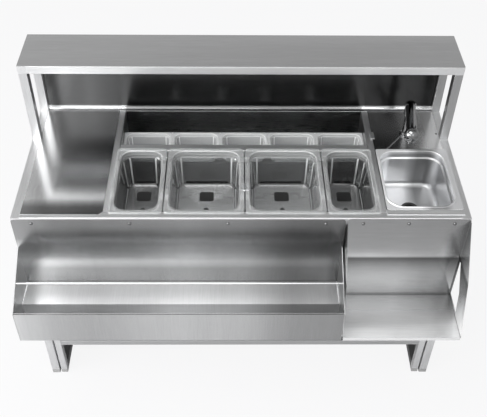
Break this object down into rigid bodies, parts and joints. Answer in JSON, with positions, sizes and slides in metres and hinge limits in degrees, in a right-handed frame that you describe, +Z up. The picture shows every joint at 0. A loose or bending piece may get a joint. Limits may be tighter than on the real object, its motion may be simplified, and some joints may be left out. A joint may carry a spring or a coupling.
{
  "type": "cocktail bar station",
  "caption": "Freestanding steel cocktail station with an ice well, lift-out clear pans, sink with tap, overshelf, double speed rail and drop shelf.",
  "frame": {"origin": "on the floor under the middle of the whole station, front rail included", "axes": "+X to the right seen from the operator's side, +Y to the back, +Z up"},
  "size_m": [1.5, 0.8, 1.185],
  "materials": {
    "frame_steel": "square tube, fine brush along its length",
    "sheet_steel": "folded sheet, long brush strokes",
    "bright_steel": "satin, smooth",
    "dark_mirror": "dark and polished",
    "dark_steel": "in shade, satin",
    "foot_cap": "grey, satin",
    "clear_pan": "clear, glossy",
    "chrome": "polished",
    "black_trim": "black, satin"
  },
  "bodies": {
    "station": {"front_rail": "frame_steel", "back_rail": "frame_steel", "side_rails": "frame_steel", "cross_rails": "bright_steel", "outer_legs": "frame_steel", "outer_feet": "foot_cap", "inner_legs": "frame_steel", "inner_feet": "foot_cap", "base_rails": "frame_steel", "base_runners": "dark_steel", "base_sheets": "dark_steel", "shelf_posts": "frame_steel", "shelf_front_beam": "frame_steel", "shelf_back_beam": "frame_steel", "shelf_side_beams": "frame_steel", "shelf_top": "sheet_steel", "back_panel": "dark_mirror", "back_cove": "bright_steel", "left_deck": "sheet_steel", "sink_deck": "sheet_steel", "cross_tab": "bright_steel", "deck_screw": "black_trim", "front_strip": "bright_steel", "well_ends": "bright_steel", "well_sides": "bright_steel", "well_floor": "bright_steel", "casing_ends": "sheet_steel", "casing_sides": "sheet_steel", "casing_floor": "sheet_steel", "well_drain": "chrome", "pan_bar": "bright_steel", "cup_ledges": "bright_steel", "sink_bowl": "bright_steel", "sink_waste": "chrome", "tap_pillar": "chrome", "tap_nut": "chrome", "rail_sheet": "sheet_steel", "rail_ends": "sheet_steel", "rail_rod": "chrome", "rail_studs": "chrome", "drop_sheet": "sheet_steel", "drop_sides": "sheet_steel", "drop_studs": "chrome"},
    "pan_third_left_body": {"pan_third_left": "clear_pan"},
    "pan_half_left_body": {"pan_half_left": "clear_pan"},
    "pan_half_right_body": {"pan_half_right": "clear_pan"},
    "pan_third_right_body": {"pan_third_right": "clear_pan"},
    "cup_1_body": {"cup_1": "clear_pan"},
    "cup_2_body": {"cup_2": "clear_pan"},
    "cup_3_body": {"cup_3": "clear_pan"},
    "cup_4_body": {"cup_4": "clear_pan"},
    "cup_5_body": {"cup_5": "clear_pan"},
    "strainer": {"sink_strainer": "black_trim"},
    "spout": {"tap_spout": "chrome"},
    "lever": {"tap_lever": "chrome"}
  },
  "joints": [
    {"name": "pan_third_left_lift", "type": "slide", "parent": "station", "child": "pan_third_left_body", "axis": [0, 0, 1], "range_m": [0, 0.18]},
    {"name": "pan_half_left_lift", "type": "slide", "parent": "station", "child": "pan_half_left_body", "axis": [0, 0, 1], "range_m": [0, 0.18]},
    {"name": "pan_half_right_lift", "type": "slide", "parent": "station", "child": "pan_half_right_body", "axis": [0, 0, 1], "range_m": [0, 0.18]},
    {"name": "pan_third_right_lift", "type": "slide", "parent": "station", "child": "pan_third_right_body", "axis": [0, 0, 1], "range_m": [0, 0.18]},
    {"name": "cup_1_lift", "type": "slide", "parent": "station", "child": "cup_1_body", "axis": [0, 0, 1], "range_m": [0, 0.12]},
    {"name": "cup_2_lift", "type": "slide", "parent": "station", "child": "cup_2_body", "axis": [0, 0, 1], "range_m": [0, 0.12]},
    {"name": "cup_3_lift", "type": "slide", "parent": "station", "child": "cup_3_body", "axis": [0, 0, 1], "range_m": [0, 0.12]},
    {"name": "cup_4_lift", "type": "slide", "parent": "station", "child": "cup_4_body", "axis": [0, 0, 1], "range_m": [0, 0.12]},
    {"name": "cup_5_lift", "type": "slide", "parent": "station", "child": "cup_5_body", "axis": [0, 0, 1], "range_m": [0, 0.12]},
    {"name": "strainer_lift", "type": "slide", "parent": "station", "child": "strainer", "axis": [0, 0, 1], "range_m": [0, 0.06]},
    {"name": "spout_swivel", "type": "hinge", "parent": "station", "child": "spout", "pos_m": [0.599, 0.235, 0.95], "axis": [0, 0, 1], "range_deg": [-50, 60]},
    {"name": "lever_turn", "type": "hinge", "parent": "spout", "child": "lever", "pos_m": [0.57659, 0.07557, 1], "axis": [0.9903, -0.1392, 0], "range_deg": [-30, 30]}
  ]
}
